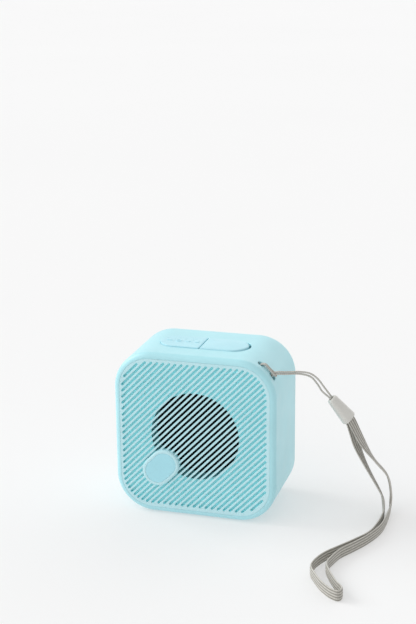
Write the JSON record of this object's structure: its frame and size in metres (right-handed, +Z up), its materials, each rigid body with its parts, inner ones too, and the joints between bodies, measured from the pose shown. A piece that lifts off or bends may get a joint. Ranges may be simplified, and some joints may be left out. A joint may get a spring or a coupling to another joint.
{
  "type": "portable wireless speaker",
  "caption": "Palm-sized portable wireless speaker: a rounded square shell with a diagonally slatted front, a blank badge, top keys, a port flap and a corner wrist strap.",
  "frame": {"origin": "bottom centre of the standing speaker, on the plane that its feet rest on, without the wrist strap", "axes": "+X to the right seen from the front, +Y from the slatted front to the back, +Z up"},
  "size_m": [0.115, 0.0978, 0.0724],
  "materials": {
    "shell": "soft-touch satin moulding",
    "panel": "satin moulding",
    "badge": "satin moulding",
    "silicone": "matt silicone",
    "foot_pad": "matt silicone",
    "cloth": "black woven acoustic cloth",
    "foam": "open-cell foam",
    "steel": "nickel plated",
    "basket_steel": "black painted pressing",
    "paper": "black pressed paper",
    "surround_rubber": "matt",
    "ferrite": "ground ferrite",
    "copper": "enamelled copper wire",
    "board": "solder mask",
    "chip": "moulded epoxy",
    "cell": "wrapped foil pouch",
    "tape": "foam tape",
    "black_plastic": "moulded",
    "wire_red": "insulation",
    "wire_black": "insulation",
    "cord": "braided nylon",
    "webbing": "ribbed woven nylon",
    "bead": "satin moulding"
  },
  "bodies": {
    "body": {"housing": "shell", "front_panel": "panel", "badge_plate": "badge", "acoustic_cloth": "cloth", "driver_gasket": "foam", "driver_basket": "basket_steel", "cone_surround": "surround_rubber", "spider": "foam", "top_plate": "steel", "magnet": "ferrite", "yoke": "steel", "driver_terminal": "board", "driver_screw_1": "steel", "driver_screw_2": "steel", "driver_screw_3": "steel", "driver_screw_4": "steel", "tact_switch_minus": "steel", "tact_switch_play": "steel", "tact_switch_plus": "steel", "tact_switch_mode": "steel", "control_pad": "silicone", "key_board": "board", "flap_tether": "silicone", "charge_port": "steel", "audio_jack": "black_plastic", "port_board": "board", "main_board": "board", "wireless_module": "steel", "amplifier_chip": "chip", "charge_chip": "chip", "battery_cell": "cell", "battery_tape": "tape", "board_screw_1": "steel", "board_screw_2": "steel", "housing_screw_1": "steel", "housing_screw_2": "steel", "housing_screw_3": "steel", "housing_screw_4": "steel", "foot_1": "foot_pad", "foot_2": "foot_pad", "speaker_lead_red": "wire_red", "speaker_lead_black": "wire_black", "battery_lead_red": "wire_red", "battery_lead_black": "wire_black", "strap_cord": "cord", "strap_bead": "bead", "strap_webbing": "webbing"},
    "minus_key": {"key_minus": "silicone", "tact_plunger_minus": "black_plastic"},
    "play_key": {"key_play": "silicone", "tact_plunger_play": "black_plastic"},
    "plus_key": {"key_plus": "silicone", "tact_plunger_plus": "black_plastic"},
    "mode_key": {"key_mode": "silicone", "tact_plunger_mode": "black_plastic"},
    "flap": {"port_flap": "silicone"},
    "cone_assembly": {"cone": "paper", "dust_cap": "paper", "voice_coil": "copper"}
  },
  "joints": [
    {"name": "minus_press", "type": "slide", "parent": "body", "child": "minus_key", "axis": [0, 0, -1], "range_m": [0, 0.00035], "stiffness_N_per_m": 800, "springref_m": -0.0002},
    {"name": "play_press", "type": "slide", "parent": "body", "child": "play_key", "axis": [0, 0, -1], "range_m": [0, 0.00035], "stiffness_N_per_m": 800, "springref_m": -0.0002},
    {"name": "plus_press", "type": "slide", "parent": "body", "child": "plus_key", "axis": [0, 0, -1], "range_m": [0, 0.00035], "stiffness_N_per_m": 800, "springref_m": -0.0002},
    {"name": "mode_press", "type": "slide", "parent": "body", "child": "mode_key", "axis": [0, 0, -1], "range_m": [0, 0.00035], "stiffness_N_per_m": 800, "springref_m": -0.0002},
    {"name": "flap_hinge", "type": "hinge", "parent": "body", "child": "flap", "pos_m": [-0.0006, -0.0024, 0.07235], "axis": [0, -1, 0], "range_deg": [0, 110], "stiffness_Nm_per_rad": 0.0012, "springref_deg": -8.59},
    {"name": "cone_travel", "type": "slide", "parent": "body", "child": "cone_assembly", "axis": [0, -1, 0], "range_m": [-0.0008, 0.0008], "stiffness_N_per_m": 900}
  ]
}
